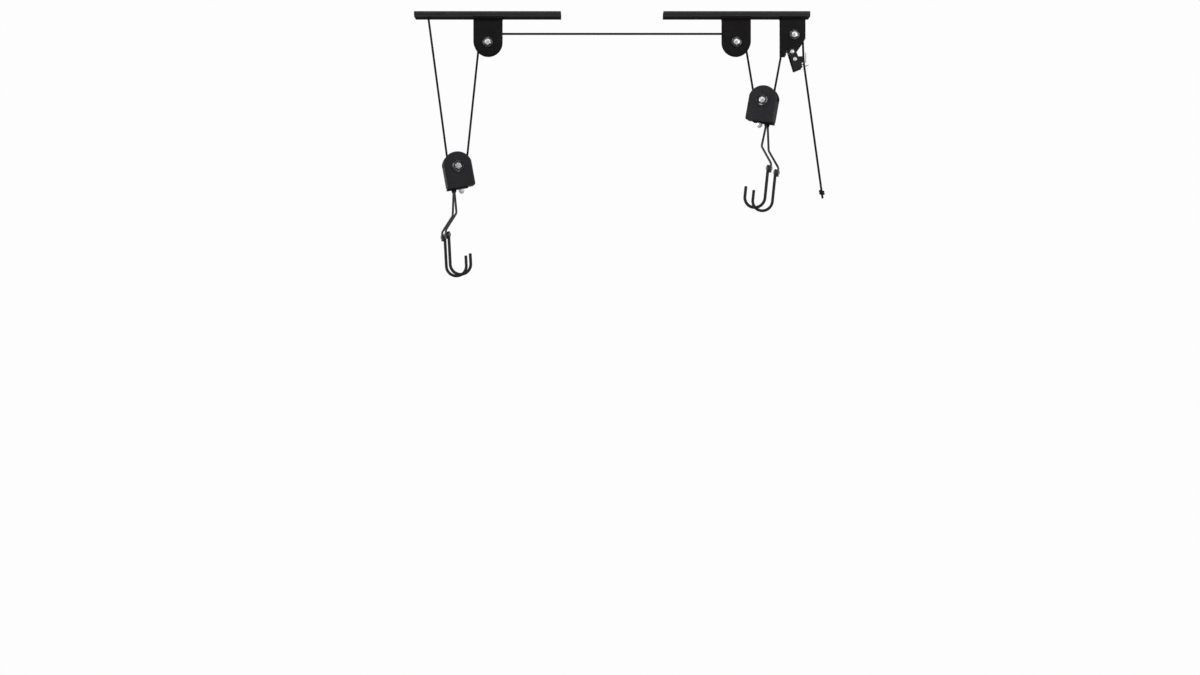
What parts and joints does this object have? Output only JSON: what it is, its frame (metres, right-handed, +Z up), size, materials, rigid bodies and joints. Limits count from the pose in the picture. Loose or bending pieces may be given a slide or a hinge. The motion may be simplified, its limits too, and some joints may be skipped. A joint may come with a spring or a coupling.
{
  "type": "ceiling bike hoist",
  "caption": "Ceiling bike hoist: black steel rails with pulleys, a rope with a cam lock, and hanging pulley blocks with sleeved double hooks.",
  "frame": {"origin": "centre of the front rail's ceiling face", "axes": "+X along the rails towards the rope lock, +Y away from the viewer, +Z up to the ceiling"},
  "size_m": [0.9712, 0.1123, 0.6255],
  "materials": {
    "rail_black": "satin black paint",
    "bracket_black": "satin black paint",
    "zinc": "bright zinc plate",
    "bush_nylon": "dark nylon",
    "rope_black": "braided polyester",
    "spring_steel": "plain steel",
    "pulley_nylon": "dark nylon",
    "lever_dark": "textured dark grey paint",
    "housing_black": "matt moulded",
    "hook_steel": "dark grey paint",
    "rubber_black": "soft dipped rubber"
  },
  "bodies": {
    "ceiling_frame": {"rear_rail": "rail_black", "front_rail": "rail_black", "rear_bracket_front_plate": "bracket_black", "rear_bracket_back_plate": "bracket_black", "front_bracket_front_plate": "bracket_black", "front_bracket_back_plate": "bracket_black", "lock_bracket_front_plate": "bracket_black", "lock_bracket_back_plate": "bracket_black", "bracket_rivets": "bracket_black", "bracket_axle_bolts": "zinc", "bracket_axle_washers": "zinc", "bracket_axle_nuts": "zinc", "bracket_axle_bushes": "bush_nylon", "rope_anchor_knot": "rope_black", "rope_rear_outer_fall": "rope_black", "rope_rear_inner_fall": "rope_black", "rope_rail_span": "rope_black", "rope_front_inner_fall": "rope_black", "rope_front_outer_fall": "rope_black", "rope_lock_wrap": "rope_black", "rope_tail": "rope_black", "lock_return_spring": "spring_steel"},
    "rear_rail_wheel": {"rear_rail_pulley": "pulley_nylon"},
    "front_rail_wheel": {"front_rail_pulley": "pulley_nylon"},
    "lock_wheel": {"lock_pulley": "pulley_nylon"},
    "lock_lever": {"lever_front_plate": "lever_dark", "lever_back_plate": "lever_dark", "cam_jaw": "spring_steel", "lever_rivets": "zinc", "lever_arm": "lever_dark", "rope_guide": "spring_steel", "rope_tail_knot": "rope_black"},
    "rear_carriage": {"rear_block_bush": "bush_nylon", "rear_block_rope": "rope_black"},
    "rear_block": {"rear_block_front_shell": "housing_black", "rear_block_back_shell": "housing_black", "rear_block_axle_bolt": "zinc", "rear_block_axle_washers": "zinc", "rear_block_axle_nut": "zinc", "rear_hanger_plate": "bracket_black", "rear_hanger_bolt": "zinc", "rear_hanger_cap_nut": "zinc"},
    "rear_hook": {"rear_hook_rods": "hook_steel", "rear_hook_sleeves": "rubber_black", "rear_hook_clips": "spring_steel"},
    "rear_block_wheel": {"rear_block_pulley": "pulley_nylon"},
    "front_carriage": {"front_block_bush": "bush_nylon", "front_block_rope": "rope_black"},
    "front_block": {"front_block_front_shell": "housing_black", "front_block_back_shell": "housing_black", "front_block_axle_bolt": "zinc", "front_block_axle_washers": "zinc", "front_block_axle_nut": "zinc", "front_hanger_plate": "bracket_black", "front_hanger_bolt": "zinc", "front_hanger_cap_nut": "zinc"},
    "front_hook": {"front_hook_rods": "hook_steel", "front_hook_sleeves": "rubber_black", "front_hook_clips": "spring_steel"},
    "front_block_wheel": {"front_block_pulley": "pulley_nylon"}
  },
  "joints": [
    {"name": "hoist_lift", "type": "slide", "parent": "ceiling_frame", "child": "rear_carriage", "axis": [0, 0, 1], "range_m": [-0.85, 0.055], "deforming": ["rope_rear_outer_fall", "rope_rear_inner_fall"]},
    {"name": "front_lift", "type": "slide", "parent": "ceiling_frame", "child": "front_carriage", "axis": [0, 0, 1], "range_m": [-0.85, 0.055], "deforming": ["rope_front_inner_fall", "rope_front_outer_fall"]},
    {"name": "rear_sway", "type": "hinge", "parent": "rear_carriage", "child": "rear_block", "pos_m": [-0.661, 0, -0.3653], "axis": [0.2079, -0.9781, 0], "range_deg": [-15, 15]},
    {"name": "rear_hook_fold", "type": "hinge", "parent": "rear_block", "child": "rear_hook", "pos_m": [-0.66849, -0.00159, -0.42329], "axis": [0.2079, -0.9781, 0], "range_deg": [-30, 45]},
    {"name": "front_sway", "type": "hinge", "parent": "front_carriage", "child": "front_block", "pos_m": [0.0655, 0, -0.2093], "axis": [0.309, 0.9511, 0], "range_deg": [-15, 15]},
    {"name": "front_hook_fold", "type": "hinge", "parent": "front_block", "child": "front_hook", "pos_m": [0.07278, -0.00237, -0.26728], "axis": [0.309, 0.9511, 0], "range_deg": [-30, 45]},
    {"name": "lock_release", "type": "hinge", "parent": "ceiling_frame", "child": "lock_lever", "pos_m": [0.1315, 0, -0.0943], "axis": [0, 1, 0], "range_deg": [0, 15], "stiffness_Nm_per_rad": 0.05, "springref_deg": -20.05, "deforming": ["lock_return_spring", "rope_tail"]},
    {"name": "rear_rail_spin", "type": "hinge", "parent": "ceiling_frame", "child": "rear_rail_wheel", "pos_m": [-0.588, 0, -0.0713], "axis": [0, 1, 0], "continuous": true},
    {"name": "front_rail_spin", "type": "hinge", "parent": "ceiling_frame", "child": "front_rail_wheel", "pos_m": [0, 0, -0.0713], "axis": [0, 1, 0], "continuous": true},
    {"name": "lock_spin", "type": "hinge", "parent": "ceiling_frame", "child": "lock_wheel", "pos_m": [0.1366, 0, -0.0543], "axis": [0, 1, 0], "continuous": true},
    {"name": "rear_block_spin", "type": "hinge", "parent": "rear_carriage", "child": "rear_block_wheel", "pos_m": [-0.661, 0, -0.3653], "axis": [-0.2079, 0.9781, 0], "continuous": true},
    {"name": "front_block_spin", "type": "hinge", "parent": "front_carriage", "child": "front_block_wheel", "pos_m": [0.0655, 0, -0.2093], "axis": [0.309, 0.9511, 0], "continuous": true}
  ],
  "couplings": [
    {"joint": "front_lift", "follows": "hoist_lift", "ratio": 1},
    {"joint": "rear_rail_spin", "follows": "hoist_lift", "rad_per_m": 95.238},
    {"joint": "front_rail_spin", "follows": "hoist_lift", "rad_per_m": 95.238},
    {"joint": "lock_spin", "follows": "hoist_lift", "rad_per_m": 190.48},
    {"joint": "rear_block_spin", "follows": "hoist_lift", "rad_per_m": -47.619},
    {"joint": "front_block_spin", "follows": "hoist_lift", "rad_per_m": -142.86}
  ]
}
